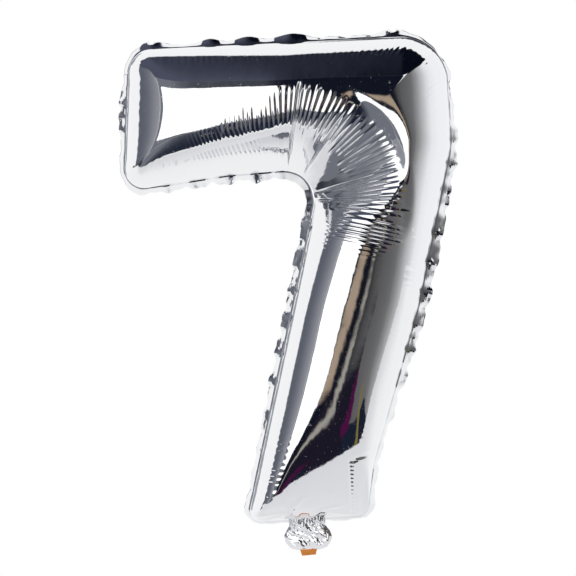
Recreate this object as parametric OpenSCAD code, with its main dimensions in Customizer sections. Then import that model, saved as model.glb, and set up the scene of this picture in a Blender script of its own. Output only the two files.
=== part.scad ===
// Foil number balloon, digit 7, inflated with air.
// Two foil panels are heat-sealed round their edge. A tail at the foot carries the self-sealing valve.
// Right is +X, up is +Z and the front of the balloon faces -Y.

/* [Digit] */
// Height of the inflated digit from its foot to its top edge
digit_height = 342; // [320:1:360]
// Reach of the bar to the left of the middle of the foot
bar_reach_left = 119; // [112:1:124]
// Reach of the bar to the right of the middle of the foot
bar_reach_right = 117; // [112:1:122]
// Height of the bar at its free end
bar_height = 101; // [94:1:106]
// Width of the stem at its foot
foot_width = 86; // [80:1:92]
// Lean of the stem's inner edge from the vertical, in degrees
stem_lean = 15; // [13:0.5:17]
// Depth of the bar from front to back
bar_depth = 94; // [84:1:100]
// Depth of the stem from front to back
stem_depth = 86; // [78:1:92]

/* [Seam] */
// Width of the heat-sealed margin outside the inflated body
seam_width = 8; // [6:0.5:10]
// Width of the margin left below the foot
foot_margin = 4; // [3:0.5:6]
// Thickness of the margin, with both films fused
seam_thickness = 0.6; // [0.4:0.1:0.8]
// Width of a hanging ear
ear_width = 20; // [16:1:26]
// Height of a hanging ear above the inflated body
ear_height = 11; // [10:0.5:14]
// Radius of the hole in a hanging ear
hole_radius = 2; // [1.5:0.25:2.5]

/* [Tail and valve] */
// Width of the tail
tail_width = 34; // [28:1:40]
// Length of the tail below the foot
tail_length = 22; // [18:1:30]
// Width of the sealed strip down each side of the tail
tail_seal = 4; // [3:0.5:5]
// Width of the valve's tongue where it shows below the tail
tongue_width = 12; // [8:1:16]
// Length of the valve's tongue below the tail
tongue_length = 5; // [3:0.5:7]
// Reach of the valve into the body
valve_reach = 66; // [50:1:80]

/* [Film] */
// Thickness of the foil of the two panels
panel_film = 0.3; // [0.3:0.1:0.5]
// Thickness of the films of the tail and the valve
thin_film = 0.2; // [0.15:0.05:0.2]

/* [Hidden] */

foil_colour = "silver";
film_colour = "lightgray";
ink_colour = "orange";

// The outline of the inflated body is drawn with X from the middle of the foot and Z from its edge.
half_foot = foot_width / 2;
bar_underside = digit_height - bar_height;
crook_height = bar_underside + 10;
crook_x = crook_height * tan(stem_lean) - half_foot;
shoulder_height = digit_height - 80;
knee_height = 150;
knee_x = knee_height * tan(stem_lean) + half_foot + 5;
ankle_height = 38;

// Corners of the outline in order round it, each with its rounding radius.
CORNERS = [
    [9 - bar_reach_left, digit_height, 18],
    [bar_reach_right, digit_height, 34],
    [bar_reach_right, shoulder_height, 60],
    [knee_x, knee_height, 200],
    [half_foot + 7, ankle_height, 60],
    [half_foot, 0, 8],
    [-half_foot, 0, 8],
    [crook_x, crook_height, 22],
    [-45, crook_height - 2, 150],
    [-bar_reach_left, bar_underside, 14],
];
TOP_LEFT = 0;
TOP_RIGHT = 1;
SHOULDER = 2;
FOOT_RIGHT = 5;
FOOT_LEFT = 6;
CROOK = 7;
BAR_BOTTOM_LEFT = 9;
ARC_STEPS = 12;

// Ribs cross the body from the outer edge to the inner edge, closer together towards its two ends.
BAR_RIBS = 15;
ELBOW_RIBS = 14;
STEM_RIBS = 22;
RIB_POINTS = 20;
RIBS = BAR_RIBS + ELBOW_RIBS + STEM_RIBS;
// Distance over which the body rises to its full depth from its two ends
end_rise = 46;
// Share of the ribs, at each end, that take up the curve of the end's edge
end_share = 0.2;

half_seam = seam_thickness / 2;
// The films of the tail stand clear of the margin by this much when it folds.
fold_gap = 0.35;
tail_half_thickness = half_seam + thin_film;
fold_height = -foot_margin - tail_half_thickness - fold_gap;
tail_top = fold_height - fold_gap / 2;
neck_width = tail_width - 2 * tail_seal;
// Lap of the margin under the edge of the panels
seam_lap = 1.5;
ear_positions = [25 - bar_reach_left, bar_reach_right - 37];
hole_height = digit_height + 6.5;

function mix(a, b, t) = a + (b - a) * t;
function unit(v) = v / norm(v);
function flat_point(corner) = [corner[0], corner[1]];
function wrapped(angle) = (angle + 540) % 360 - 180;
function total(list, i = 0) = i == len(list) ? 0 : list[i] + total(list, i + 1);
function join(lists) = [for (list = lists) each list];
function backwards(list) = [for (i = [len(list) - 1 : -1 : 0]) list[i]];

// Points of the arc that rounds one corner of the outline
function corner_arc(index) =
    let (
        count = len(CORNERS),
        corner = flat_point(CORNERS[index]),
        radius = CORNERS[index][2],
        to_last = unit(flat_point(CORNERS[(index + count - 1) % count]) - corner),
        to_next = unit(flat_point(CORNERS[(index + 1) % count]) - corner),
        half_angle = acos(to_last * to_next) / 2,
        start = corner + to_last * radius / tan(half_angle),
        end = corner + to_next * radius / tan(half_angle),
        centre = corner + unit(to_last + to_next) * radius / sin(half_angle),
        start_angle = atan2(start[1] - centre[1], start[0] - centre[0]),
        sweep = wrapped(atan2(end[1] - centre[1], end[0] - centre[0]) - start_angle)
    )
    [for (k = [0 : ARC_STEPS])
        let (angle = start_angle + sweep * k / ARC_STEPS)
        centre + radius * [cos(angle), sin(angle)]];

ARCS = [for (index = [0 : len(CORNERS) - 1]) corner_arc(index)];
function first_half(arc) = [for (k = [0 : ARC_STEPS / 2]) arc[k]];
function second_half(arc) = [for (k = [ARC_STEPS / 2 : ARC_STEPS]) arc[k]];
function arcs_between(first, last) = join([for (index = [first : last]) ARCS[index]]);

// The four sides of the body: two long edges from the bar's end to the foot, and the two ends
elbow_top = [crook_x - 10, digit_height];
elbow_side = mix(ARCS[SHOULDER][ARC_STEPS], ARCS[SHOULDER + 1][0], 0.3);
outer_bar = concat(second_half(ARCS[TOP_LEFT]), [elbow_top]);
outer_elbow = concat([elbow_top], arcs_between(TOP_RIGHT, SHOULDER), [elbow_side]);
outer_stem = concat([elbow_side], arcs_between(SHOULDER + 1, FOOT_RIGHT - 1), first_half(ARCS[FOOT_RIGHT]));
inner_bar = backwards(concat([ARCS[CROOK][ARC_STEPS]], ARCS[CROOK + 1], first_half(ARCS[BAR_BOTTOM_LEFT])));
inner_elbow = backwards(ARCS[CROOK]);
inner_stem = backwards(concat(second_half(ARCS[FOOT_LEFT]), [ARCS[CROOK][0]]));
bar_end = backwards(concat(second_half(ARCS[BAR_BOTTOM_LEFT]), first_half(ARCS[TOP_LEFT])));
foot_end = concat(second_half(ARCS[FOOT_RIGHT]), first_half(ARCS[FOOT_LEFT]));

// The origin is the middle of the box round the whole balloon, on the plane of the seam.
body_left = min([for (point = join(ARCS)) point[0]]);
origin_x = (body_left + bar_reach_right) / 2;
origin_z = (digit_height + ear_height - tail_length - tongue_length) / 2;

function spans(path) = [for (k = [1 : len(path) - 1]) norm(path[k] - path[k - 1])];
function walk(path, steps, distance, k = 0) =
    k == len(steps) - 1 || distance <= steps[k]
        ? mix(path[k], path[k + 1], distance / max(steps[k], 0.001))
        : walk(path, steps, distance - steps[k], k + 1);
// Point of a path at a share of its length
function along(path, share) = let (steps = spans(path)) walk(path, steps, share * total(steps));

// Share of a section's length at which each of its ribs stands
bar_shares = [for (k = [0 : BAR_RIBS]) 1 - cos(90 * k / BAR_RIBS)];
elbow_shares = [for (k = [1 : ELBOW_RIBS]) k / ELBOW_RIBS];
stem_shares = [for (k = [1 : STEM_RIBS]) sin(90 * k / STEM_RIBS)];
outer_edge = concat(
    [for (share = bar_shares) along(outer_bar, share)],
    [for (share = elbow_shares) along(outer_elbow, share)],
    [for (share = stem_shares) along(outer_stem, share)]
);
inner_edge = concat(
    [for (share = bar_shares) along(inner_bar, share)],
    [for (share = elbow_shares) along(inner_elbow, share)],
    [for (share = stem_shares) along(inner_stem, share)]
);
end_shares = [for (j = [0 : RIB_POINTS]) (1 - cos(180 * j / RIB_POINTS)) / 2];
bar_end_points = [for (share = end_shares) along(bar_end, share)];
foot_end_points = [for (share = end_shares) along(foot_end, share)];

function middle(i) = mix(outer_edge[i], inner_edge[i], 0.5);
function distance_to(i) = i == 0 ? 0 : distance_to(i - 1) + norm(middle(i) - middle(i - 1));
rib_distances = [for (i = [0 : RIBS]) distance_to(i)];
body_length = rib_distances[RIBS];

// How much of an end's own curve a rib takes up, from 1 at the end to 0
function end_pull(share) = pow(max(0, 1 - share / end_share), 2);
// Half depth of the body at a rib, which falls to nothing in a quarter circle at each end
function rise(distance) = let (rest = 1 - min(1, distance / end_rise)) sqrt(max(0, 1 - rest * rest));
function half_depth(i) =
    let (turn = min(1, max(0, (i - BAR_RIBS) / ELBOW_RIBS)))
    mix(bar_depth, stem_depth, turn) / 2
        * min(rise(rib_distances[i]), rise(body_length - rib_distances[i]));

// Point j of rib i in the plane of the seam, before the body's depth is added
function plan_point(i, j) =
    let (
        straight = mix(outer_edge[i], inner_edge[i], end_shares[j]),
        bar_curve = bar_end_points[j] - mix(outer_edge[0], inner_edge[0], end_shares[j]),
        foot_curve = foot_end_points[j] - mix(outer_edge[RIBS], inner_edge[RIBS], end_shares[j])
    )
    straight + bar_curve * end_pull(i / RIBS) + foot_curve * end_pull(1 - i / RIBS);

PLAN = [for (i = [0 : RIBS]) [for (j = [0 : RIB_POINTS]) plan_point(i, j)]];
PLAN_CENTRES = [for (i = [0 : RIBS]) mix(PLAN[i][0], PLAN[i][RIB_POINTS], 0.5)];

// Moves a point of the plan inwards by a distance, across its rib and away from a near end
function inset_plan(i, j, inset) =
    let (
        across = unit(PLAN[i][RIB_POINTS] - PLAN[i][0]),
        forward = unit(PLAN_CENTRES[min(RIBS, i + 1)] - PLAN_CENTRES[max(0, i - 1)]),
        end_side = (1 - rise(rib_distances[i])) - (1 - rise(body_length - rib_distances[i]))
    )
    PLAN[i][j] + inset * (cos(180 * j / RIB_POINTS) * across + end_side * forward);

// Skin of one panel: the outer face, or the inner face when it is inset by the film
function skin(inset) =
    [for (i = [0 : RIBS], j = [0 : RIB_POINTS])
        let (
            plan = inset_plan(i, j, inset),
            height = max(0, half_depth(i) - inset) * sin(180 * j / RIB_POINTS)
        )
        [plan[0], -half_seam - height, plan[1]]];

ROW = RIB_POINTS + 1;
SKIN_SIZE = (RIBS + 1) * ROW;
function two_triangles(a, b, c, d) = [[a, b, c], [a, c, d]];
function skin_faces(start, flip) =
    join([for (i = [0 : RIBS - 1], j = [0 : RIB_POINTS - 1])
        let (a = start + i * ROW + j, b = a + 1, c = b + ROW, d = a + ROW)
        flip ? two_triangles(a, d, c, b) : two_triangles(a, b, c, d)]);
rim = concat(
    [for (i = [0 : RIBS - 1]) i * ROW],
    [for (j = [0 : RIB_POINTS - 1]) RIBS * ROW + j],
    [for (i = [RIBS : -1 : 1]) i * ROW + RIB_POINTS],
    [for (j = [RIB_POINTS : -1 : 1]) j]
);
rim_faces = join([for (k = [0 : len(rim) - 1])
    let (a = rim[k], b = rim[(k + 1) % len(rim)])
    two_triangles(a, a + SKIN_SIZE, b + SKIN_SIZE, b)]);

// Puts the outline's own layout onto the balloon's origin
module placed() {
    translate([-origin_x, 0, -origin_z]) children();
}

// Stands a flat drawing up as a sheet that reaches from one depth to another
module sheet(from, to) {
    translate([0, to, 0])
        rotate([90, 0, 0])
            linear_extrude(to - from)
                children();
}

module panel() {
    placed()
        polyhedron(
            points = concat(skin(0), skin(panel_film)),
            faces = concat(skin_faces(0, false), skin_faces(SKIN_SIZE, true), rim_faces)
        );
}

module front_panel() {
    color(foil_colour) panel();
}

module back_panel() {
    color(foil_colour) mirror([0, 1, 0]) panel();
}

module body_outline() {
    polygon(join(ARCS));
}

module ear_outline(x) {
    translate([x - ear_width / 2, digit_height])
        square([ear_width, ear_height - ear_width / 4]);
    intersection() {
        translate([x, digit_height + ear_height - ear_width / 2]) circle(ear_width / 2);
        translate([x - ear_width / 2, digit_height]) square([ear_width, ear_height]);
    }
}

// Flat band that the two films form where they are fused, with the ears and the gap for the valve
module margin_outline() {
    difference() {
        union() {
            offset(seam_width) body_outline();
            for (x = ear_positions) ear_outline(x);
        }
        offset(-seam_lap) body_outline();
        translate([-bar_reach_left, -foot_margin - seam_width])
            square([bar_reach_left + bar_reach_right, seam_width]);
        translate([-neck_width / 2, -foot_margin])
            square([neck_width, foot_margin + 2 * seam_lap]);
    }
}

module perimeter_seam() {
    color(foil_colour)
        placed()
            difference() {
                sheet(-half_seam, half_seam) margin_outline();
                for (x = ear_positions)
                    translate([x, 0, hole_height])
                        rotate([90, 0, 0])
                            cylinder(h = 2 * seam_thickness, r = hole_radius, center = true, $fn = 48);
            }
}

// Film of the valve inside the body, which lies behind or before the gas passage
module valve_inner(from, to) {
    color(film_colour)
        placed()
            sheet(from, to)
                translate([-neck_width / 2, -foot_margin])
                    square([neck_width, foot_margin + valve_reach]);
}

module valve_inner_front() {
    valve_inner(-half_seam, -half_seam + thin_film);
}

module valve_inner_back() {
    valve_inner(half_seam - thin_film, half_seam);
}

module tail_outline() {
    translate([-tail_width / 2, -tail_length])
        square([tail_width, tail_length + tail_top]);
}

module tail_front_film() {
    color(foil_colour)
        placed()
            sheet(-half_seam - thin_film, -half_seam) tail_outline();
}

module tail_back_film() {
    color(foil_colour)
        placed()
            sheet(half_seam, half_seam + thin_film) tail_outline();
}

module tail_seal(left) {
    color(foil_colour)
        placed()
            sheet(-half_seam, half_seam)
                translate([left, -tail_length])
                    square([tail_seal, tail_length + tail_top]);
}

module tail_seal_left() {
    tail_seal(-tail_width / 2);
}

module tail_seal_right() {
    tail_seal(tail_width / 2 - tail_seal);
}

module tongue_outline() {
    translate([-tongue_width / 2, -tail_length - tongue_length])
        square([tongue_width, tongue_length]);
}

// Film of the valve inside the tail, with the tongue that shows below it
module valve_mouth(from, to) {
    color(film_colour)
        placed()
            sheet(from, to) {
                translate([-neck_width / 2, -tail_length])
                    square([neck_width, tail_length + tail_top]);
                tongue_outline();
            }
}

module valve_mouth_front() {
    valve_mouth(-half_seam, -half_seam + thin_film);
}

module valve_mouth_back() {
    valve_mouth(half_seam - thin_film, half_seam);
}

module release_print() {
    color(ink_colour)
        placed()
            sheet(-half_seam - thin_film, -half_seam) tongue_outline();
}

front_panel();
back_panel();
perimeter_seam();
valve_inner_front();
valve_inner_back();
tail_front_film();
tail_back_film();
tail_seal_left();
tail_seal_right();
valve_mouth_front();
valve_mouth_back();
release_print();
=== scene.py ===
"""Silver foil number balloon, the digit 7: its looks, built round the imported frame."""

from math import acos, atan2, cos, pi, radians, sin, tan

import bmesh
import bpy
import numpy as np
from mathutils import Euler, Matrix, Vector


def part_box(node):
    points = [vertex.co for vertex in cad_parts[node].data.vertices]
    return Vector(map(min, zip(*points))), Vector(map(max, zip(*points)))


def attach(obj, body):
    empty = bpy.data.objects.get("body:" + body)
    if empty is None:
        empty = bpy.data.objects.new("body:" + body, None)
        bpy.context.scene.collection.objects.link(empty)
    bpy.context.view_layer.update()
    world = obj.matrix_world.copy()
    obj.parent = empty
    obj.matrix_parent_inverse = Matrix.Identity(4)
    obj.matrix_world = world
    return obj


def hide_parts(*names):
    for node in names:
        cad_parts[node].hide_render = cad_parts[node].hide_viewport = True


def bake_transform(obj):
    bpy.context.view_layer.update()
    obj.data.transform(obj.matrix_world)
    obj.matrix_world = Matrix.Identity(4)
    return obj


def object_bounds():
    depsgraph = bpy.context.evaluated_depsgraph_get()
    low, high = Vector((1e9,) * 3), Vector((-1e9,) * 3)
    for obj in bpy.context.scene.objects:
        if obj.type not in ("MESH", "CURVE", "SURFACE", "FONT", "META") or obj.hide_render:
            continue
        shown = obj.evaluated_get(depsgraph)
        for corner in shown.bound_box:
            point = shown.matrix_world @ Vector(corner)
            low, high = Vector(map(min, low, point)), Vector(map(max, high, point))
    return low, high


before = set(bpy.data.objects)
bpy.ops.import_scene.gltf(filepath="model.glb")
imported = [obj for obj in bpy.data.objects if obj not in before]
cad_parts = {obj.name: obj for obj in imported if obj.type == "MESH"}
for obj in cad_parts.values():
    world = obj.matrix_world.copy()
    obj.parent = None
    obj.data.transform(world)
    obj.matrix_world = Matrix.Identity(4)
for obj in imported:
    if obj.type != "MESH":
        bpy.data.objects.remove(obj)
cad_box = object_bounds()

MM = 0.001
DEGREE = radians(1)

# ---------------------------------------------------------------- sizes, in millimetres
# Plan coordinates run from the middle of the foot: X to the right and Z up, as the outline is drawn.
panel_low, panel_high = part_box("front_panel")
_, seam_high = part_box("perimeter_seam")
tail_low, tail_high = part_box("tail_front_film")
print_low, print_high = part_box("release_print")
PLAN_ORIGIN = Vector(((tail_low.x + tail_high.x) / 2, 0, panel_low.z))

HEIGHT = (panel_high.z - panel_low.z) / MM
REACH_LEFT = (PLAN_ORIGIN.x - panel_low.x) / MM
REACH_RIGHT = (panel_high.x - PLAN_ORIGIN.x) / MM
MARGIN = (seam_high.x - panel_high.x) / MM
EAR_HEIGHT = (seam_high.z - panel_high.z) / MM
TAIL_WIDTH = (tail_high.x - tail_low.x) / MM
TAIL_BOTTOM = (tail_low.z - PLAN_ORIGIN.z) / MM
TONGUE_WIDTH = (print_high.x - print_low.x) / MM
TONGUE_BOTTOM = (print_low.z - PLAN_ORIGIN.z) / MM

HALF_FOOT = 43
STEM_LEAN = tan(radians(15))
STEM_MIDDLE = 150
BAR_UNDERSIDE = HEIGHT - 101
BAR_END_LEAN = 9
# The bar's corners stand a little outside the panel's box, because their rounding cuts them back.
CORNER_CUT = 1.5
CROOK_HEIGHT = BAR_UNDERSIDE + 10

# Corners of the inflated outline in order round it, each with its rounding radius
CORNERS = [
    (BAR_END_LEAN - REACH_LEFT - CORNER_CUT, HEIGHT, 18),
    (REACH_RIGHT, HEIGHT, 34),
    (REACH_RIGHT, HEIGHT - 80, 60),
    (STEM_MIDDLE * STEM_LEAN + HALF_FOOT + 5, STEM_MIDDLE, 200),
    (HALF_FOOT + 7, 38, 60),
    (HALF_FOOT, 0, 8),
    (-HALF_FOOT, 0, 8),
    (CROOK_HEIGHT * STEM_LEAN - HALF_FOOT, CROOK_HEIGHT, 22),
    (-45, CROOK_HEIGHT - 2, 150),
    (-REACH_LEFT - CORNER_CUT, BAR_UNDERSIDE, 14),
]
TOP_LEFT, TOP_RIGHT, FOOT_RIGHT, FOOT_LEFT, CROOK, BAR_BOTTOM_LEFT = 0, 1, 5, 6, 7, 9
CROOK_RADIUS = CORNERS[CROOK][2]
ARC_STEPS = 24

# ---------------------------------------------------------------- plan of the panels


def unit(v):
    return v / np.linalg.norm(v)


def corner_arc(index):
    """Points of the arc that rounds one corner of the outline, and the arc's centre."""
    corner = np.array(CORNERS[index][:2])
    radius = CORNERS[index][2]
    to_last = unit(np.array(CORNERS[index - 1][:2]) - corner)
    to_next = unit(np.array(CORNERS[(index + 1) % len(CORNERS)][:2]) - corner)
    half = acos(to_last @ to_next) / 2
    centre = corner + unit(to_last + to_next) * radius / sin(half)
    start = corner + to_last * radius / tan(half) - centre
    end = corner + to_next * radius / tan(half) - centre
    first = atan2(start[1], start[0])
    sweep = (atan2(end[1], end[0]) - first + 3 * pi) % (2 * pi) - pi
    angles = first + sweep * np.linspace(0, 1, ARC_STEPS + 1)
    return centre + radius * np.stack([np.cos(angles), np.sin(angles)], 1), centre


ARCS = [corner_arc(k)[0] for k in range(len(CORNERS))]
CROOK_CENTRE = corner_arc(CROOK)[1]
HALF_ARC = ARC_STEPS // 2


def path_length(path):
    """Distance run at each point of a path."""
    steps = np.linalg.norm(np.diff(path, axis=0), axis=1)
    return np.concatenate([[0], np.cumsum(steps)])


def along(path, shares):
    """Points of a path at shares of its length."""
    run = path_length(path)
    return np.stack([np.interp(np.asarray(shares) * run[-1], run, path[:, k]) for k in (0, 1)], 1)


# Ribs cross the body from its outer edge to its inner edge, in this many steps. They are close together
# where the film pleats: in the fan round the crook, and on these lengths of the bar and the stem beside it.
ROWS = 96
RIB_GAP, FINE_GAP, FAN_GAP = 0.8, 0.42, 0.37
PLEATED_BAR, PLEATED_STEM = 56, 36
# Distances round the crook are measured on a ring of this radius.
RING = 64
# Share of the body's length, at each end, over which the ribs turn to lie along that end
END_SHARE = 0.10


def spaced(lengths_and_gaps):
    """Distances from 0 along consecutive stretches, each with its own gap."""
    marks = [0.0]
    for length, gap in lengths_and_gaps:
        count = max(1, round(length / gap))
        marks += list(marks[-1] + length * np.arange(1, count + 1) / count)
    return np.array(marks)


def outline_sides():
    """The two long sides of the outline, cut where the fan round the crook starts and stops."""
    spoke = ARCS[CROOK][-1] - CROOK_CENTRE
    fan_start = CROOK_CENTRE + spoke * (HEIGHT - CROOK_CENTRE[1]) / spoke[1]
    top = np.concatenate([ARCS[TOP_LEFT][HALF_ARC:], fan_start[None]])
    right = np.concatenate([fan_start[None], *ARCS[TOP_RIGHT:FOOT_RIGHT], ARCS[FOOT_RIGHT][: HALF_ARC + 1]])
    inner_bar = [ARCS[CROOK][-1:], ARCS[CROOK + 1], ARCS[BAR_BOTTOM_LEFT][: HALF_ARC + 1]]
    inner_bar = np.concatenate(inner_bar)[::-1]
    inner_stem = np.concatenate([ARCS[FOOT_LEFT][HALF_ARC:], ARCS[CROOK][:1]])[::-1]
    return top, right, inner_bar, ARCS[CROOK][::-1], inner_stem


def end_paths():
    """The two ends of the outline: the bar's and the foot's."""
    bar_end = np.concatenate([ARCS[BAR_BOTTOM_LEFT][HALF_ARC:], ARCS[TOP_LEFT][: HALF_ARC + 1]])[::-1]
    foot_end = np.concatenate([ARCS[FOOT_RIGHT][HALF_ARC:], ARCS[FOOT_LEFT][: HALF_ARC + 1]])
    return bar_end, foot_end


def on_rays(path, angles):
    """Where rays from the crook's centre cross a path."""
    fine = along(path, np.linspace(0, 1, 6000))
    bearing = np.unwrap(np.arctan2(fine[:, 1] - CROOK_CENTRE[1], fine[:, 0] - CROOK_CENTRE[0]))
    rising = slice(bearing.argmin(), None, -1)
    return np.stack([np.interp(angles, bearing[rising], fine[rising, k]) for k in (0, 1)], 1)


def rib_ends():
    """Each rib's end on the outer edge, its end on the inner edge, and its distance along the ring."""
    top, right, inner_bar, crook, inner_stem = outline_sides()
    bar_length = path_length(inner_bar)[-1]
    stem_length = path_length(inner_stem)[-1]
    spoke = crook - CROOK_CENTRE
    fan = np.arctan2(spoke[[0, -1], 1], spoke[[0, -1], 0])
    fan_length = (fan[0] - fan[1]) * RING
    bar = spaced([(bar_length - PLEATED_BAR, RIB_GAP), (PLEATED_BAR, FINE_GAP)])
    turn = spaced([(fan_length, FAN_GAP)])[1:]
    stem = spaced([(PLEATED_STEM, FINE_GAP), (stem_length - PLEATED_STEM, RIB_GAP)])[1:]
    angles = fan[0] - turn / RING
    fan_outer = on_rays(right, angles)
    below = right[right[:, 1] < fan_outer[-1, 1]]
    outer_stem = np.concatenate([fan_outer[-1:], below])
    outer_edge = np.concatenate([
        along(top, bar / bar_length),
        fan_outer,
        along(outer_stem, stem / stem_length),
    ])
    inner_edge = np.concatenate([
        along(inner_bar, bar / bar_length),
        CROOK_CENTRE + CROOK_RADIUS * np.stack([np.cos(angles), np.sin(angles)], 1),
        along(inner_stem, stem / stem_length),
    ])
    return outer_edge, inner_edge, np.concatenate([bar - bar_length, turn, fan_length + stem])


def panel_plan():
    """Plan of a panel, rib by rib, with each rib's distance along the ring."""
    outer_edge, inner_edge, ring = rib_ends()
    across = (1 - np.cos(np.linspace(0, 1, ROWS + 1) * pi)) / 2
    bar_end, foot_end = (along(path, across) for path in end_paths())
    from_bar_end = path_length((outer_edge + inner_edge) / 2)[:, None, None]
    from_foot = from_bar_end[-1] - from_bar_end
    reach = END_SHARE * from_bar_end[-1]
    share = across[None, :, None]
    plan = outer_edge[:, None] * (1 - share) + inner_edge[:, None] * share
    for end, rib, from_end in ((bar_end, 0, from_bar_end), (foot_end, -1, from_foot)):
        straight = outer_edge[rib] * (1 - share) + inner_edge[rib] * share
        plan = plan + (end[None] - straight) * np.maximum(0, 1 - from_end / reach) ** 2
    return plan, ring


def distance_to(points, path):
    """Distance from points to the nearest part of a path."""
    nearest = np.full(points.shape[:-1], np.inf)
    for a, b in zip(path[:-1], path[1:]):
        span = b - a
        size = span @ span
        if size < 1e-12:
            continue
        share = np.clip(((points - a) @ span) / size, 0, 1)
        offset = points - a - share[..., None] * span
        nearest = np.minimum(nearest, np.einsum("...k,...k", offset, offset))
    return np.sqrt(nearest)


def smooth(values, edge, width):
    """0 below an edge and 1 above it, over a width."""
    t = np.clip((values - edge) / width + 0.5, 0, 1)
    return t * t * (3 - 2 * t)


def between(values, low, high, soft):
    """1 between two edges and 0 outside them, with soft edges."""
    return smooth(values, low, soft) * (1 - smooth(values, high, soft))


def soft_minimum(a, b, sharpness):
    """The lesser of two values, rounded where they cross."""
    return (np.maximum(a, 1e-6) ** -sharpness + np.maximum(b, 1e-6) ** -sharpness) ** (-1 / sharpness)


def swell(distance, reach, fullness):
    """Rise of the film from a seam, from 0 to 1 over a reach: round at fullness 2 and parabolic at 1."""
    rest = 1 - np.clip(distance / reach, 0, 1)
    return np.maximum(0, 1 - rest * rest) ** (1 / fullness)


# How the cross-section changes along the body. Stations are distances along the ring from the fan's start.
# At each: half depth, reach and fullness of the rise from the outer seam, the same from the inner seam, and
# how sharply the two meet.
STATIONS = np.array([-110, -60, 0, 35, 60, 75, 92, 108, 125, 190, 330])
SECTION = {
    "depth": (46, 49, 53, 52, 52, 52, 51, 49, 48, 46, 45),
    "outer_reach": (50, 49, 47, 46, 50, 50, 48, 46, 50, 52, 50),
    "outer_fullness": (2.0, 1.8, 1.4, 1.4, 1.6, 1.6, 1.6, 1.7, 1.8, 2.0, 2.0),
    "inner_reach": (51, 50, 50, 62, 98, 112, 98, 62, 42, 38, 38),
    "inner_fullness": (2.0, 1.5, 1.0, 1.0, 1.0, 1.0, 1.0, 1.1, 1.4, 2.0, 2.0),
    "sharpness": (14, 14, 14, 20, 50, 60, 50, 20, 14, 14, 14),
}
SECTION_EASE = 16
# Places on the ring of the long creases from the crook to the pleats. The film between them lies flatter.
CREASES = (14, 46, 89, 105)
GORE_FLATNESS = 0.9

BAR_END_REACH, BAR_END_FULLNESS = 48, 1.9
# The foot is a long wedge with a steep rim, which grows across it towards its left corner.
FOOT_RIM_REACH = 22
FOOT_RIM_PLACES, FOOT_RIM_SHARES = (0, 0.15, 0.75, 1), (0, 0.05, 0.68, 0.75)
WEDGE_REACH_RIGHT, WEDGE_REACH_LEFT = 152, 128
END_SHARPNESS = 14
# The pleats pull the film in by this step, which ends at their outer ends in the elbow.
STEP_DEPTH, STEP_EDGE = 1.7, 66


def section(name, ring):
    """One measure of the cross-section at each rib, eased from station to station."""
    fine = np.arange(STATIONS[0] - 2 * SECTION_EASE, STATIONS[-1] + 2 * SECTION_EASE + 1.0)
    values = np.interp(fine, STATIONS, SECTION[name])
    window = np.hanning(2 * SECTION_EASE + 1)
    padded = np.pad(values, SECTION_EASE, mode="edge")
    eased = np.convolve(padded, window / window.sum(), mode="valid")
    return np.interp(ring, fine, eased)[:, None]


def flattened_gores(ring, inner):
    """Distance from the crook, measured straight across each gore between two creases."""
    radius = CROOK_RADIUS + inner
    near_crook = smooth(inner, 8, 14) * (1 - smooth(inner, 40, 20))
    for first, last in zip(CREASES[:-1], CREASES[1:]):
        turn = (ring - (first + last) / 2)[:, None] / RING
        inside = ((ring >= first) & (ring < last))[:, None]
        inner = inner - inside * near_crook * radius * (1 - np.cos(turn)) * GORE_FLATNESS
    return inner


def inflated_height(plan, ring):
    """How far the film stands in front of the seam's plane, and the distances from the long seams."""
    top, right, inner_bar, crook, inner_stem = outline_sides()
    bar_end, foot_end = end_paths()
    outer = distance_to(plan, np.concatenate([top, right]))
    inner = distance_to(plan, np.concatenate([inner_bar, crook, inner_stem]))
    rise_outer = swell(outer, section("outer_reach", ring), section("outer_fullness", ring))
    across_gores = flattened_gores(ring, inner)
    rise_inner = swell(across_gores, section("inner_reach", ring), section("inner_fullness", ring))
    sides = soft_minimum(rise_outer, rise_inner, section("sharpness", ring))
    across = np.linspace(0, 1, ROWS + 1)[None]
    at_bar_end = swell(distance_to(plan, bar_end), BAR_END_REACH, BAR_END_FULLNESS)
    from_foot = distance_to(plan, foot_end)
    rim = np.interp(across, FOOT_RIM_PLACES, FOOT_RIM_SHARES)
    wedge_reach = WEDGE_REACH_RIGHT - (WEDGE_REACH_RIGHT - WEDGE_REACH_LEFT) * across
    at_foot = rim * swell(from_foot, FOOT_RIM_REACH, 2) + (1 - rim) * swell(from_foot, wedge_reach, 1)
    height = section("depth", ring) * soft_minimum(sides, at_bar_end * at_foot, END_SHARPNESS)
    step = smooth(ring, 45, 30) * (1 - smooth(ring, 122, 20))
    height = height - STEP_DEPTH * step[:, None] * (1 - smooth(inner, STEP_EDGE, 9)) * smooth(inner, 20, 34)
    return height, inner, outer


# ---------------------------------------------------------------- pleats
# The fan's pleats at places on the ring: where they start and stop from the inner seam, and their strength
FAN_PLACES = (-60, -40, -15, 10, 60, 100, 118, 132, 150)
FAN_START = (27, 26, 27, 29, 28, 26, 20, 12, 8)
FAN_STOP = (34, 39, 43, 54, 60, 62, 64, 60, 50)
FAN_STRENGTH = (0, 0.3, 0.55, 1.1, 1.25, 1.25, 1.2, 0.9, 0)
FAN_PLEAT, SLANTING_PLEAT = 3.4, 3.1
CREASE_DEPTH, CREASE_HALF_WIDTH = 0.8, 1.0

# Puckers along the two long seams: the side of the plan, their gap, the seed of their unevenness, and the
# places on the plan where they are strong, each with its spread
RIM_PUCKERS = (
    ("outer", 4.4, 11, ((104, 330, 30), (-112, 335, 14))),
    ("inner", 4.8, 12, ((-28, 40, 30), (-112, 245, 14), (-90, 245, 12))),
)
END_PUCKER = 4.6


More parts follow.
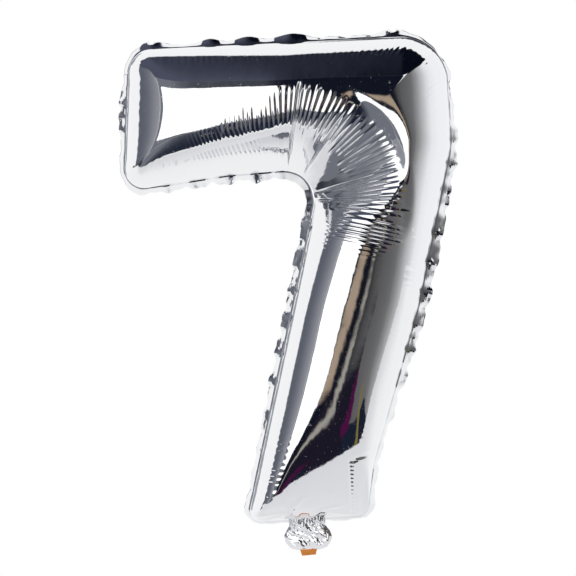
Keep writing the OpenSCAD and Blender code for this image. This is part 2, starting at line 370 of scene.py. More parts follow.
def ridges(distance, gap, seed):
    """Round ridges with sharp valleys at an uneven gap, and the number of the ridge at each distance."""
    rng = np.random.default_rng(seed)
    knots = np.arange(distance.min(), distance.max() + 9, 9)
    shift = np.interp(distance, knots, rng.normal(0, 0.26 * gap, len(knots)))
    phase = (distance + shift) / gap
    number = np.floor(phase).astype(int)
    return np.abs(np.sin(pi * phase)), number - number.min()


def uneven(seed, number, low, high):
    """A random value for each ridge."""
    return np.random.default_rng(seed).uniform(low, high, number.max() + 1)[number]


def fan_pleats(ring, inner):
    """The fan of pleats round the crook and along the bar's underside."""
    ridge, number = ridges(ring, FAN_PLEAT, 7)
    near = np.interp(ring, FAN_PLACES, FAN_START) + uneven(1, number, -4, 4)
    far = np.interp(ring, FAN_PLACES, FAN_STOP) + uneven(2, number, -5, 3)
    power = np.interp(ring, FAN_PLACES, FAN_STRENGTH) * uneven(3, number, 0.4, 1.15)
    return 0.5 * (power * ridge)[:, None] * between(inner, near[:, None], far[:, None], 8)


def slanting_pleats(ring, inner):
    """Short pleats that run aslant to the bar's underside."""
    slant = ring[:, None] + 0.4 * inner
    ridge = np.abs(np.sin(pi * slant / SLANTING_PLEAT + 0.8 * np.sin(slant / 7)))
    return 0.16 * ridge * between(ring, -62, -14, 14)[:, None] * between(inner, 10, 30, 10)


def creases(ring, inner):
    """Narrow valleys from the crook to the pleats."""
    depth = 0
    for place in CREASES:
        across = (ring[:, None] - place) * (CROOK_RADIUS + inner) / RING
        depth = depth + np.exp(-((across / CREASE_HALF_WIDTH) ** 2))
    return -CREASE_DEPTH * depth * between(inner, 3, 58, 8)


def rim_puckers(plan, inner, outer):
    """Puckers that run in from the seams, strongest near the outline's corners."""
    total = 0
    sides = {"outer": (plan[:, 0], outer), "inner": (plan[:, -1], inner)}
    for side, gap, seed, places in RIM_PUCKERS:
        edge, distance = sides[side]
        ridge, number = ridges(path_length(edge), gap, seed)
        power = 0.12
        for x, z, spread in places:
            power = power + np.exp(-(np.linalg.norm(edge - [x, z], axis=1) / spread) ** 2)
        power = np.minimum(1, power) * uneven(seed, number, 0.4, 1.0)
        total = total + 0.42 * (power * ridge)[:, None] * between(distance, 3, 15, 6)
    return total


def end_puckers(plan):
    """Puckers that run in from the bar's end and from the foot."""
    total = 0
    for path, rib, seed in zip(end_paths(), (0, -1), (13, 14)):
        distance = distance_to(plan, path)
        ridge, number = ridges(path_length(plan[rib]), END_PUCKER, seed)
        power = uneven(seed, number, 0, 0.8) * ridge
        total = total + 0.3 * power[None] * between(distance, 3, 14, 6)
    return total


# Small folds in the foot's film, which spread from both sides of the tail's root:
# start on the plan, direction in degrees, length, half width and height
FOOT_FOLDS = [
    (-13, 8, 42, 16, 1.5, 0.8),
    (-13, 8, 105, 8, 1.3, 1.2),
    (-13, 8, 184, 24, 1.0, 0.9),
    (-13, 7, 196, 20, 1.0, 0.8),
    (-13, 8, 240, 7, 1.2, 1.0),
    (-13, 8, -38, 12, 1.2, 1.1),
    (10, 8, 100, 8, 1.3, 1.1),
    (10, 8, 8, 15, 1.1, 0.9),
    (10, 7, -12, 22, 1.0, 0.8),
    (10, 8, 218, 12, 1.2, 1.1),
]
FOLD_EASE = 7
PINCH_PLACE, PINCH_TOP, PINCH_DEPTH = HALF_FOOT - 10, 42, 1.2
CRINKLE = 2.9


def foot_folds(plan):
    """Folds at the tail's root, and a crinkled pinch up the foot's right side with a cuff at its top."""
    x, z = plan[..., 0], plan[..., 1]
    crinkle = 1 + 0.5 * np.sin(2 * pi * z / CRINKLE)
    pinch = np.exp(-(((x - PINCH_PLACE) / 1.3) ** 2)) * between(z, 3, PINCH_TOP, 5)
    cuff = np.exp(-(((z - PINCH_TOP - 0.3 * (x - PINCH_PLACE)) / 1.4) ** 2))
    cuff = 0.6 * cuff * between(x, PINCH_PLACE - 1, PINCH_PLACE + 16, 5)
    total = -PINCH_DEPTH * (pinch + cuff) * crinkle
    for start_x, start_z, direction, length, half_width, height in FOOT_FOLDS:
        turn = radians(direction)
        along_fold = (x - start_x) * cos(turn) + (z - start_z) * sin(turn)
        off_fold = (z - start_z) * cos(turn) - (x - start_x) * sin(turn)
        profile = np.exp(-((off_fold / half_width) ** 2))
        total = total + height * profile * between(along_fold, 0, length, FOLD_EASE)
    return total


def surface_normals(points):
    """Outward directions at the points of the front film."""
    du = np.gradient(points, axis=0)
    dv = np.gradient(points, axis=1)
    normal = np.cross(dv, du)
    return normal / (np.linalg.norm(normal, axis=2, keepdims=True) + 1e-9)


def front_film():
    """Points of the front film, in metres, rib by rib."""
    plan, ring = panel_plan()
    height, inner, outer = inflated_height(plan, ring)
    points = np.stack([plan[..., 0], -height, plan[..., 1]], 2)
    normal = surface_normals(points)
    relief = fan_pleats(ring, inner) + slanting_pleats(ring, inner) + creases(ring, inner)
    relief = relief + rim_puckers(plan, inner, outer) + end_puckers(plan) + foot_folds(plan)
    points = points + normal * relief[..., None]
    points[..., 1] = np.minimum(points[..., 1], 0)
    return points * MM + np.array(PLAN_ORIGIN)


# ---------------------------------------------------------------- meshes


def grid_faces(rows, columns):
    """The four-sided faces between the points of a grid."""
    index = np.arange(rows * columns).reshape(rows, columns)
    return np.stack([index[:-1, :-1], index[1:, :-1], index[1:, 1:], index[:-1, 1:]], -1).reshape(-1, 4)


def make_piece(name, points, faces, material, smooth_faces=True):
    """A new object from points in metres."""
    mesh = bpy.data.meshes.new(name)
    mesh.from_pydata(points.reshape(-1, 3).tolist(), [], faces.tolist())
    mesh.materials.append(material)
    mesh.polygons.foreach_set("use_smooth", np.broadcast_to(smooth_faces, len(mesh.polygons)).copy())
    mesh.update()
    piece = bpy.data.objects.new(name, mesh)
    bpy.context.scene.collection.objects.link(piece)
    return piece


# ---------------------------------------------------------------- materials


class Tree:
    """Short calls for the nodes of a material or of the world."""

    def __init__(self, owner):
        owner.use_nodes = True
        self.tree = owner.node_tree
        self.tree.nodes.clear()

    def node(self, kind, **inputs):
        """A new node, with values or links for the inputs named. An underscore stands for a space."""
        made = self.tree.nodes.new("ShaderNode" + kind)
        for name, value in inputs.items():
            self.set(made.inputs[name.replace("_", " ")], value)
        return made

    def set(self, socket, value):
        if isinstance(value, bpy.types.NodeSocket):
            self.tree.links.new(value, socket)
        else:
            socket.default_value = value

    def math(self, operation, *values):
        made = self.tree.nodes.new("ShaderNodeMath")
        made.operation = operation
        for socket, value in zip(made.inputs, values):
            self.set(socket, value)
        return made.outputs[0]

    def ramp(self, value, low, high):
        """0 below low and 1 above high, smoothly."""
        made = self.tree.nodes.new("ShaderNodeMapRange")
        made.interpolation_type = "SMOOTHSTEP"
        for name, given in (("Value", value), ("From Min", low), ("From Max", high)):
            self.set(made.inputs[name], given)
        return made.outputs[0]

    def mix(self, share, first, second):
        """From the first colour at share 0 to the second at share 1."""
        made = self.tree.nodes.new("ShaderNodeMix")
        made.data_type = "RGBA"
        for name, value in (("Factor", share), ("A", first), ("B", second)):
            socket = [s for s in made.inputs if s.name == name and s.enabled][0]
            self.set(socket, value)
        return [s for s in made.outputs if s.enabled][0]

    def finish(self, shader, waves):
        """Ends a material: its waves go to the shader, and the shader to the surface."""
        self.set(shader.inputs["Normal"], waves.outputs[0])
        self.node("OutputMaterial", Surface=shader.outputs[0])


SILVER = (0.88, 0.885, 0.9, 1)
CLEAN_ROUGHNESS, SCUFF_ROUGHNESS = 0.045, 0.3


def foil_material(name, wrinkle):
    """Metallised film: a near mirror with fine and broad waves, and small scuffs."""
    material = bpy.data.materials.new(name)
    tree = Tree(material)
    place = tree.node("TexCoord").outputs["Object"]
    fine = tree.node("TexNoise", Vector=place, Scale=900, Detail=3, Roughness=0.6).outputs[0]
    broad = tree.node("TexNoise", Vector=place, Scale=55, Detail=2).outputs[0]
    fine_waves = tree.node("Bump", Strength=wrinkle, Distance=0.00002, Height=fine).outputs[0]
    waves = tree.node("Bump", Strength=2 * wrinkle, Distance=0.0003, Height=broad, Normal=fine_waves)
    grain = tree.node("TexNoise", Vector=place, Scale=420, Detail=4, Roughness=0.75).outputs[0]
    scuffs = tree.math("MULTIPLY", tree.ramp(grain, 0.6, 0.72), SCUFF_ROUGHNESS)
    roughness = tree.math("ADD", CLEAN_ROUGHNESS, scuffs)
    shader = tree.node("BsdfPrincipled", Metallic=1.0, Base_Color=SILVER, Roughness=roughness)
    tree.finish(shader, waves)
    return material


def film_material(name, colour, roughness):
    """Plain film, a little mottled and uneven."""
    material = bpy.data.materials.new(name)
    tree = Tree(material)
    place = tree.node("TexCoord").outputs["Object"]
    mottle = tree.node("TexNoise", Vector=place, Scale=600, Detail=4).outputs[0]
    shaded = tuple(0.8 * c for c in colour[:3]) + (1,)
    waves = tree.node("Bump", Strength=0.3, Distance=0.0001, Height=mottle)
    tint = tree.mix(mottle, shaded, colour)
    tree.finish(tree.node("BsdfPrincipled", Base_Color=tint, Roughness=roughness), waves)
    return material


foil = foil_material("silver_foil", 0.25)
seam_foil = foil_material("silver_foil_seam", 0.4)
clear_film = film_material("valve_film", (0.86, 0.87, 0.88, 1), 0.25)
ink = film_material("release_ink", (0.95, 0.32, 0.03, 1), 0.45)

# ---------------------------------------------------------------- the two panels
film = front_film()
faces = grid_faces(*film.shape[:2])
front = make_piece("foil_front", film, faces, foil)
back = make_piece("foil_back", film * [1, -1, 1], faces[:, ::-1], foil)
for piece, node in ((front, "front_panel"), (back, "back_panel")):
    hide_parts(node)
    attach(piece, "balloon")

# ---------------------------------------------------------------- the margin
MARGIN_STEP = 1.3
# Rows of the margin as shares of its width, from its lap under the panels to its free edge
MARGIN_ROWS = np.array([-1.2, 0, 1.2, 2.4, 3.6, 4.8, 6.0, 7.2, 8.0]) / 8.0
FOOT_MARGIN = 4
EAR_PLACES = (-94, 80)
EAR_HALF_WIDTH = 10
HOLE_HEIGHT, HOLE_RADIUS = 6.5, 2.0
# Wavelengths along the edge: of the fold's slow and quick sway, and of the margin's width
SLOW_SWAY, QUICK_SWAY, WIDTH_SWAY = 23, 9.7, 31
# Where the foil is more crumpled than this, its faces stay flat.
CREASED = 0.25
MARGIN_THICKNESS = 0.25

# How the margin lies along the outline: a place on the plan, the fold backwards in degrees,
# how far the fold sways in degrees, and how crumpled the foil is from 0 to 1
MARGIN_LIE = [
    ((-112, HEIGHT), 66, 4, 0.1),
    ((-94, HEIGHT), 44, 0, 0.0),
    ((-78, HEIGHT), 70, 4, 0.1),
    ((-62, HEIGHT), 68, 0, 0.0),
    ((-52, HEIGHT), 36, 0, 0.0),
    ((-39, HEIGHT), 68, 0, 0.0),
    ((-25, HEIGHT), 34, 0, 0.0),
    ((-11, HEIGHT), 68, 0, 0.0),
    ((6, HEIGHT), 26, 0, 0.0),
    ((24, HEIGHT), 70, 4, 0.1),
    ((62, HEIGHT), 72, 4, 0.1),
    ((80, HEIGHT), 50, 0, 0.0),
    ((104, HEIGHT - 6), 78, 4, 0.1),
    ((REACH_RIGHT, HEIGHT - 45), 74, 8, 0.3),
    ((REACH_RIGHT, HEIGHT - 82), 46, 10, 0.6),
    ((104, 200), 26, 12, 0.8),
    ((88, 150), 28, 12, 0.8),
    ((72, 95), 48, 12, 0.6),
    ((60, 62), 68, 6, 0.3),
    ((HALF_FOOT, 4), 62, 6, 0.2),
    ((-HALF_FOOT, 4), 68, 5, 0.2),
    ((-30, 50), 64, 6, 0.3),
    ((-10, 120), 52, 9, 0.55),
    ((8, 188), 46, 9, 0.6),
    ((18, 225), 40, 4, 0.1),
    ((2, 250), 46, 2, 0.05),
    ((-20, 249), 50, 16, 0.5),
    ((-60, 246), 56, 14, 0.4),
    ((-REACH_LEFT, 250), 66, 4, 0.1),
    ((-REACH_LEFT, 278), 62, 5, 0.2),
    ((-REACH_LEFT, 298), 38, 12, 0.8),
    ((-REACH_LEFT, 318), 64, 4, 0.1),
]


def margin_path():
    """Points round the outline at even steps, with the outward direction at each."""
    loop = np.concatenate(ARCS)
    loop = np.concatenate([loop, loop[:1]])
    count = round(path_length(loop)[-1] / MARGIN_STEP)
    points = along(loop, np.arange(count) / count)
    tangent = np.roll(points, -1, axis=0) - np.roll(points, 1, axis=0)
    outward = np.stack([-tangent[:, 1], tangent[:, 0]], 1)
    return points, outward / np.linalg.norm(outward, axis=1, keepdims=True)


def looped(distance, total, marks, values):
    """Values given at marks round a loop, at every distance round it."""
    order = np.argsort(marks)
    marks, values = np.asarray(marks)[order], np.asarray(values, float)[order]
    marks = np.concatenate([[marks[-1] - total], marks, [marks[0] + total]])
    values = np.concatenate([values[-1:], values, values[:1]])
    return sum(np.interp(distance + shift, marks, values) for shift in (-4, -2, 0, 2, 4)) / 5


def crumple(rng, u, v, cell):
    """Random height at points (u, v), with flat stretches between the knots of a lattice."""
    cells_u, cells_v = int(u.max() / cell) + 3, int((v.max() - v.min()) / cell) + 3
    knots = rng.uniform(-1, 1, (cells_u, cells_v))
    a, b = u / cell, (v - v.min()) / cell
    i, j = a.astype(int), b.astype(int)
    s, t = a - i, b - j
    lower = s + t < 1
    near = knots[i, j] + s * (knots[i + 1, j] - knots[i, j]) + t * (knots[i, j + 1] - knots[i, j])
    far = knots[i + 1, j + 1]
    far = far + (1 - s) * (knots[i, j + 1] - far) + (1 - t) * (knots[i + 1, j] - far)
    return np.where(lower, near, far)


def ears(edge):
    """How far each place on the edge belongs to an ear, from 0 to 1."""
    ear = np.zeros(len(edge))
    for place in EAR_PLACES:
        across = np.clip(np.abs(edge[:, 0] - place) / EAR_HALF_WIDTH, 0, 1)
        ear = np.maximum(ear, np.where(edge[:, 1] > HEIGHT - 1, np.sqrt(1 - across**2), 0))
    return ear


def margin_points():
    """The margin's points, row by row from its lap to its free edge, and how crumpled it is at each place."""
    rng = np.random.default_rng(21)
    edge, outward = margin_path()
    distance = MARGIN_STEP * np.arange(len(edge))
    total = MARGIN_STEP * len(edge)
    places, *columns = zip(*MARGIN_LIE)
    marks = [distance[np.linalg.norm(edge - place, axis=1).argmin()] for place in places]
    fold, sway, crumpled = (looped(distance, total, marks, values) for values in columns)
    knots = np.arange(0, total, 40)
    pace = distance + 5 * np.interp(distance, knots, rng.uniform(-1, 1, len(knots)))
    sway = sway * np.sin(2 * pi * pace / SLOW_SWAY) + 0.5 * sway * np.sin(2 * pi * pace / QUICK_SWAY)
    fold = DEGREE * (fold + sway)
    width = np.where((np.abs(edge[:, 0]) < HALF_FOOT + 2) & (edge[:, 1] < 1), FOOT_MARGIN, MARGIN)
    width = width + 0.5 * np.sin(2 * pi * pace / WIDTH_SWAY)
    ear = ears(edge)
    width = width + (EAR_HEIGHT - MARGIN) * ear
    reach = width[:, None] * MARGIN_ROWS[None]
    turned = fold[:, None] * smooth(reach, 1.0, 2.0)
    step = np.diff(reach, axis=1, prepend=reach[:, :1])
    out = reach[:, :1] + np.cumsum(step * np.cos(turned), axis=1)
    depth = np.cumsum(step * np.sin(turned), axis=1)
    free = smooth(reach, 3.0, 5.0) * crumpled[:, None] * (1 - 0.8 * ear[:, None])
    u, v = np.broadcast_to(distance[:, None], reach.shape), reach
    depth = depth + free * (1.8 * crumple(rng, u, v, 8.5) + 0.4 * crumple(rng, u, v, 3.1))
    out = out + free * 0.8 * crumple(rng, u, v, 6.1)
    plan = edge[:, None] + outward[:, None] * out[..., None]
    return np.stack([plan[..., 0], depth, plan[..., 1]], 2), crumpled


def punch_holes(piece):
    """Cuts the hanging holes through the margin and rounds their edges."""
    mesh = bmesh.new()
    mesh.from_mesh(piece.data)
    for place in EAR_PLACES:
        centre = PLAN_ORIGIN + Vector((place, 0, HEIGHT + HOLE_HEIGHT)) * MM

        def away(point):
            return Vector((point.x - centre.x, point.z - centre.z)).length / MM

        near = [f for f in mesh.faces if away(f.calc_center_median()) < HOLE_RADIUS + 0.2]
        bmesh.ops.delete(mesh, geom=near, context="FACES")
        for vert in mesh.verts:
            gap = away(vert.co)
            if vert.is_boundary and gap < 2 * HOLE_RADIUS:
                share = HOLE_RADIUS / max(gap, 0.01)
                vert.co.x = centre.x + (vert.co.x - centre.x) * share
                vert.co.z = centre.z + (vert.co.z - centre.z) * share
    mesh.to_mesh(piece.data)
    mesh.free()


def thicken(piece, thickness):
    """Gives a sheet its thickness, half on each side."""
    solid = piece.modifiers.new("film", "SOLIDIFY")
    solid.thickness = thickness * MM
    solid.offset = 0


margin_grid, margin_crumple = margin_points()
margin_grid = np.concatenate([margin_grid, margin_grid[:1]])
rounded_faces = np.repeat(margin_crumple <= CREASED, len(MARGIN_ROWS) - 1)
margin = make_piece(
    "foil_margin",
    margin_grid * MM + np.array(PLAN_ORIGIN),
    grid_faces(*margin_grid.shape[:2]),
    seam_foil,
    rounded_faces,
)
punch_holes(margin)
thicken(margin, MARGIN_THICKNESS)
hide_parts("perimeter_seam")
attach(margin, "balloon")

# ---------------------------------------------------------------- the tail and the valve
TAIL_CELL = 0.8
TAIL_HALF = TAIL_WIDTH / 2
TAIL_TOP = 1.5
TAIL_SEAL = 2.4
TAIL_TWIST = radians(9)
FOIL_THICKNESS, CLEAR_THICKNESS, TONGUE_THICKNESS = 0.12, 0.08, 0.2


def tail_half_width(z):
    """Half width of the tail: gathered at its root, flared below and rounded at its bottom."""
    flare = 0.66 + 0.34 * smooth(-z, 6.5, 13)
    bottom = np.clip((z - TAIL_BOTTOM) / 11, 0, 1)
    return TAIL_HALF * flare * (0.45 + 0.55 * np.sqrt(1 - (1 - bottom) ** 2))


def twisted(x, out, z):
    """Points of the tail, turned a little about its middle line below the root."""
    return np.stack([x, out - x * tan(TAIL_TWIST) * smooth(-z, 3, 6), z], 2)


def tail_rows():
    """Heights of the tail's rows, from just above its root down to its bottom."""
    return np.linspace(TAIL_TOP, TAIL_BOTTOM, round((TAIL_TOP - TAIL_BOTTOM) / TAIL_CELL))


def tail_film(side, seed):
    """One crumpled film of the tail, in front at side -1 and behind at side 1."""
    rng = np.random.default_rng(seed)
    across = np.linspace(-1, 1, round(TAIL_WIDTH / TAIL_CELL))
    z, share = np.meshgrid(tail_rows(), across, indexing="ij")
    x = share * tail_half_width(z)
    loose = (1 - share**6) * smooth(-z, 2, 6) * smooth(z, TAIL_BOTTOM + 1.5, 3)
    rough = 0.55 * crumple(rng, x + TAIL_HALF, z, 5.3) + 0.4 * crumple(rng, x + TAIL_HALF, z, 1.9)
    gather = 0.4 * np.abs(np.sin(share * 17 + seed)) * np.exp(-((z + 1) / 4) ** 2) * (1 - share**6)
    out = 0.3 + loose * (1.3 + np.maximum(rough, -1.1)) + gather
    return twisted(x, side * out, z)


def tail_seal(side):
    """The flat sealed strip down one side of the tail."""
    z, share = np.meshgrid(tail_rows(), np.linspace(0, 1, 4), indexing="ij")
    x = side * (tail_half_width(z) + 0.3 - share * TAIL_SEAL)
    return twisted(x, 0.25 * np.sin(z * 1.3 + side), z)


def tongue():
    """The valve's tongue, with its orange release print, curled a little forwards."""
    across = np.linspace(-0.5, 0.5, 15) * TONGUE_WIDTH
    x, z = np.meshgrid(across, np.linspace(TAIL_BOTTOM + 3, TONGUE_BOTTOM + 1.2, 11), indexing="ij")
    below = np.maximum(0, TAIL_BOTTOM - z)
    x = x * (1 - 0.05 * below)
    depth = -0.4 - 0.05 * below**2 + 0.25 * np.sin(x * 0.9) * below / 5
    return twisted(x, depth, z + 0.06 * x * np.minimum(1, below))


def mouth_film(side):
    """One film of the valve's mouth, inside the tail and down into the tongue."""
    rows = np.concatenate([tail_rows()[1:], np.linspace(TAIL_BOTTOM, TONGUE_BOTTOM + 1.3, 8)[1:]])
    z, share = np.meshgrid(rows, np.linspace(-1, 1, 9), indexing="ij")
    inside = smooth(z, TAIL_BOTTOM + 3, 4)
    half_width = inside * 0.6 * tail_half_width(z) + (1 - inside) * 0.42 * TONGUE_WIDTH
    return twisted(share * half_width, 0.12 * side + 0 * z, z)


def tail_piece(name, points, material, thickness, smooth_faces, slot, *nodes):
    """A piece of the tail, from a sheet of points in millimetres."""
    places = points * MM + np.array(PLAN_ORIGIN)
    piece = make_piece(name, places, grid_faces(*points.shape[:2]), material, smooth_faces)
    thicken(piece, thickness)
    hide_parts(*nodes)
    return piece


tail_pieces = [
    ("tail_foil_front", tail_film(-1, 3), "tail_front_film"),
    ("tail_foil_back", tail_film(1, 8), "tail_back_film"),
    ("tail_strip_left", tail_seal(-1), "tail_seal_left"),
    ("tail_strip_right", tail_seal(1), "tail_seal_right"),
]
for name, points, node in tail_pieces:
    piece = tail_piece(name, points, seam_foil, FOIL_THICKNESS, False, "silver_foil", node)
    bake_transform(piece)
for name, side in (("valve_mouth_film_front", -1), ("valve_mouth_film_back", 1)):
    node = "valve_mouth_front" if side < 0 else "valve_mouth_back"
    piece = tail_piece(name, mouth_film(side), clear_film, CLEAR_THICKNESS, True, "valve_film", node)
    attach(piece, "tail")
tongue_print = tail_piece(
    "valve_tongue", tongue(), ink, TONGUE_THICKNESS, True, "release_ink", "release_print"
)
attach(tongue_print, "tail")

# ---------------------------------------------------------------- CAD pieces that keep their shape


def repaint(material, *names):
    """Gives CAD pieces another material."""
    for name in names:
        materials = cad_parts[name].data.materials
        materials.clear()
        materials.append(material)


repaint(clear_film, "valve_inner_front", "valve_inner_back")

# ---------------------------------------------------------------- studio
# Things in the dark room: the slopes of their left, right, low and high edges, and their colour
ROOM_STRIPS = [
    (0.1, 0.5, -1.2, -0.22, (0.012, 0.01, 0.02)),
    (-0.02, 0.1, -0.2, -0.02, (0.4, 0.31, 0.23)),
    (0.17, 0.22, -1.2, -0.1, (0.36, 0.34, 0.3)),
    (0.42, 0.52, -0.75, -0.3, (0.07, 0.006, 0.05)),
    (0.8, 0.95, -1.2, -0.45, (0.2, 0.16, 0.05)),
]
# Doorways in the backdrop: the slopes of their sides, and their colour
DOORWAYS = [(0.03, 0.36, (0.06, 0.065, 0.09)), (-0.62, -0.3, (0.35, 0.36, 0.4))]
# Grey of the right wall from straight ahead, at 0, to straight behind, at 1
RIGHT_WALL = [
    (0.0, 0.03), (0.08, 0.06), (0.14, 0.11), (0.25, 0.14), (0.31, 0.17),
    (0.39, 0.32), (0.48, 0.6), (0.56, 0.9), (0.65, 0.97),
]
DUSK = (0.17, 0.18, 0.21)
WHITE = (1, 1, 1, 1)


class Studio(Tree):
    """The studio by direction from the balloon. Walls are bounded by slopes: one direction over another.

    A span is the slopes of two edges and the softness of both.
    """

    def __init__(self, world):
        super().__init__(world)
        direction = self.node("SeparateXYZ", Vector=self.node("TexCoord").outputs["Generated"])
        self.right, self.back, self.up = direction.outputs
        self.left, self.front, self.down = (self.math("MULTIPLY", way, -1.0) for way in direction.outputs)
        self.colour = WHITE

    def slope(self, rise, run):
        """One direction over another, kept finite where the second is behind."""
        return self.math("DIVIDE", rise, self.math("MAXIMUM", run, 0.0001))

    def both(self, a, b):
        return self.math("MULTIPLY", a, b)

    def below(self, value, low, high):
        """1 below low and 0 above high, smoothly."""
        return self.math("SUBTRACT", 1.0, self.ramp(value, low, high))

    def band(self, value, span):
        """1 between a span's edges and 0 outside them."""
        low, high, soft = span
        rising = self.ramp(value, low - soft / 2, low + soft / 2)
        return self.both(rising, self.below(value, high - soft / 2, high + soft / 2))

    def window(self, ahead, side, side_span, top, top_span):
        """1 inside a rectangle that faces the balloon from one direction, and 0 outside it."""
        facing = self.math("GREATER_THAN", ahead, 0.0)
        side_band = self.band(self.slope(side, ahead), side_span)
        return self.both(facing, self.both(side_band, self.band(self.slope(top, ahead), top_span)))

    def shade(self, value, low, high, first, second):
        """From the first colour at low to the second at high."""
        return self.mix(self.ramp(value, low, high), first + (1,), second + (1,))

    def paint(self, share, colour):
        self.colour = self.mix(share, self.colour, colour)

    def left_wall(self):
        """A wall from the front panel's edge to just behind the balloon, darkest low down beside it."""
        ahead = self.slope(self.front, self.left)
        tone = self.shade(ahead, -0.2, 0.9, (0.115, 0.125, 0.155), (0.3, 0.31, 0.34))
        low = self.below(self.slope(self.up, self.left), -0.25, 0.05)
        beside = self.below(ahead, 0.25, 0.6)
        tone = self.mix(self.both(low, beside), tone, (0.035, 0.04, 0.05, 1))
        self.paint(self.window(self.left, self.front, (-0.29, 0.85, 0.06), self.up, (-1.3, 0.9, 0.1)), tone)

    def right_wall(self):
        """A wall that is dark at the front and light behind."""
        azimuth = self.math("ARCTAN2", self.right, self.front)
        shade = self.node("ValToRGB", Fac=self.math("DIVIDE", azimuth, pi))
        elements = shade.color_ramp.elements
        while len(elements) < len(RIGHT_WALL):
            elements.new(0.5)
        for element, (position, level) in zip(elements, RIGHT_WALL):
            element.position = position
            element.color = (level, level, level * 1.02, 1)
        facing = self.math("GREATER_THAN", self.right, 0.0)
        height = self.band(self.slope(self.up, self.right), (-2.5, 1.0, 0.15))
        self.paint(self.both(facing, height), shade.outputs[0])

    def ceiling(self):
        """A dark ceiling, darkest on the right."""
        across = self.slope(self.right, self.up)
        tone = self.shade(across, -0.25, 0.15, (0.075, 0.082, 0.12), (0.003, 0.004, 0.009))
        self.paint(self.window(self.up, self.back, (-1.1, 0.53, 0.06), self.right, (-1.3, 1.3, 0.1)), tone)

    def dark_floor(self):
        """The floor in front of the light table."""
        tone = self.shade(self.slope(self.right, self.down), -0.4, 0.12, DUSK, (0.01, 0.015, 0.03))
        self.paint(self.window(self.down, self.front, (0.287, 1.6, 0.05), self.right, (-2, 2, 0.1)), tone)

    def dark_room(self):
        """A dark room in front, right of the white panel, with a few narrow things in it."""
        tone = self.shade(self.slope(self.right, self.front), -0.45, 0.02, DUSK, (0.006, 0.008, 0.016))
        room = self.window(self.front, self.right, (-1.15, 0.22, 0.16), self.up, (-0.62, 0.93, 0.05))
        self.paint(room, tone)
        for left, right, low, high, tint in ROOM_STRIPS:
            strip = self.window(self.front, self.right, (left, right, 0.03), self.up, (low, high, 0.1))
            self.paint(strip, tint + (1,))

    def doorways(self):
        """Doorways in the white backdrop behind the balloon."""
        for left, right, tint in DOORWAYS:
            door = self.window(self.back, self.right, (left, right, 0.05), self.up, (-0.2, 0.62, 0.05))
            self.paint(door, tint + (1,))

    def light_up(self):
        """The balloon mirrors the studio, and the camera sees plain white."""
        lit = self.node("Background", Color=self.colour, Strength=1.0)
        plain = self.node("Background", Color=WHITE, Strength=1.0)
        blend = self.node("MixShader", Fac=self.node("LightPath").outputs["Is Camera Ray"])
        self.set(blend.inputs[1], lit.outputs[0])
        self.set(blend.inputs[2], plain.outputs[0])
        self.node("OutputWorld", Surface=blend.outputs[0])


def studio_world():
    world = bpy.data.worlds.new("studio")
    bpy.context.scene.world = world
    studio = Studio(world)
    studio.left_wall()
    studio.right_wall()
    studio.ceiling()
    studio.dark_floor()
    studio.dark_room()
    studio.doorways()
    studio.light_up()


studio_world()

# A light takes its front colour before this range of depth, and its full level behind it, in metres.
LIGHT_FADE = (-0.08, 0.2)
UNEVENNESS = 0.12


def light_material(name, level, front_colour):
    """Soft light, a little uneven, with its own colour at its front edge, and plain white to the camera."""
    material = bpy.data.materials.new(name)
    tree = Tree(material)
    place = tree.node("TexCoord").outputs["Object"]
    depth = tree.node("SeparateXYZ", Vector=place).outputs[1]
    patches = tree.node("TexNoise", Vector=place, Scale=9, Detail=2).outputs[0]
    edge = tree.math("ADD", depth, tree.math("MULTIPLY", patches, UNEVENNESS))
    light = tree.mix(tree.ramp(edge, *LIGHT_FADE), front_colour, (level, level, level, 1))
    colour = tree.mix(tree.node("LightPath").outputs["Is Camera Ray"], light, WHITE)
    tree.node("OutputMaterial", Surface=tree.node("Emission", Color=colour).outputs[0])
    return material


def stage_sheet(name, corners, level, front_colour):
    """A flat light in the studio: a sheet with its own light material."""
    light = light_material(name, level, front_colour)
    sheet = make_piece(name, np.array(corners), np.arange(len(corners))[None], light)
    return sheet


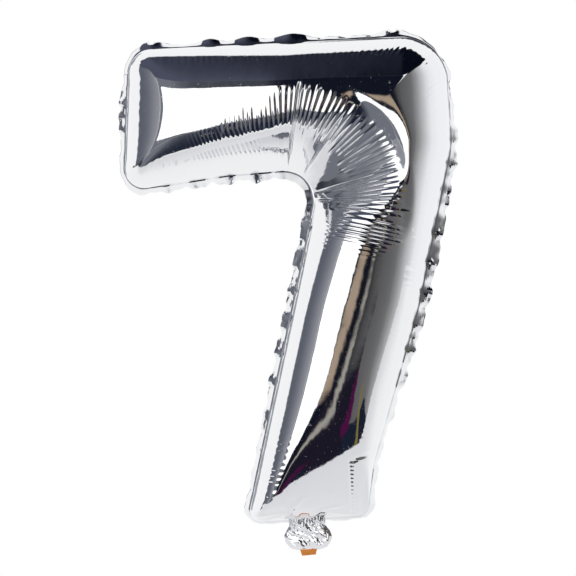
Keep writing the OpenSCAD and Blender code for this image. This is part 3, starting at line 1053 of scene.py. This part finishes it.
# The light table runs from just before the balloon to far behind it. Its top is close under the tongue.
TABLE_HEIGHT = cad_box[0].z - 0.006
TABLE_LEFT, TABLE_RIGHT, TABLE_FRONT, TABLE_BACK = -2, 0.9, -0.11, 3
TABLE_PLAN = [
    (TABLE_LEFT, TABLE_FRONT),
    (TABLE_RIGHT, TABLE_FRONT),
    (TABLE_RIGHT, TABLE_BACK),
    (TABLE_LEFT, TABLE_BACK),
]
stage_sheet("floor", [(x, y, TABLE_HEIGHT) for x, y in TABLE_PLAN], 0.97, (0.74, 0.74, 0.765, 1))
# A tall white panel stands before the balloon, left of the camera. The camera looks past its right edge.
PANEL_AWAY = 0.9
PANEL_LEVEL = 1.25
PANEL_LEFT, PANEL_RIGHT, PANEL_LOW, PANEL_HIGH = -0.84, -0.005, -0.38, 0.58
PANEL_CORNERS = [
    (-0.15, PANEL_LOW),
    (PANEL_RIGHT, PANEL_LOW),
    (PANEL_RIGHT, PANEL_HIGH),
    (PANEL_LEFT, PANEL_HIGH),
    (PANEL_LEFT, -0.05),
]
panel_light = (PANEL_LEVEL, PANEL_LEVEL, PANEL_LEVEL, 1)
panel = stage_sheet("panel", [(x, -PANEL_AWAY, z) for x, z in PANEL_CORNERS], PANEL_LEVEL, panel_light)
panel.visible_camera = False

# ---------------------------------------------------------------- camera
# The photo's frame where it crosses the balloon: its width and the place of its centre, in metres
VIEW_WIDTH = 0.413
VIEW_CENTRE = (-0.0047, 0.0031)
PHOTO_TILT = radians(3)
CAMERA_DISTANCE = 1.5
camera_data = bpy.data.cameras.new("camera")
camera = bpy.data.objects.new("camera", camera_data)
bpy.context.scene.collection.objects.link(camera)
camera.location = (VIEW_CENTRE[0], -CAMERA_DISTANCE, VIEW_CENTRE[1])
level_view = Euler((radians(90), 0, 0)).to_matrix()
camera.rotation_euler = (level_view @ Matrix.Rotation(-PHOTO_TILT, 3, "Z")).to_euler()
camera_data.lens = camera_data.sensor_width * CAMERA_DISTANCE / VIEW_WIDTH
bpy.context.scene.camera = camera
bpy.context.scene.view_settings.view_transform = "Standard"
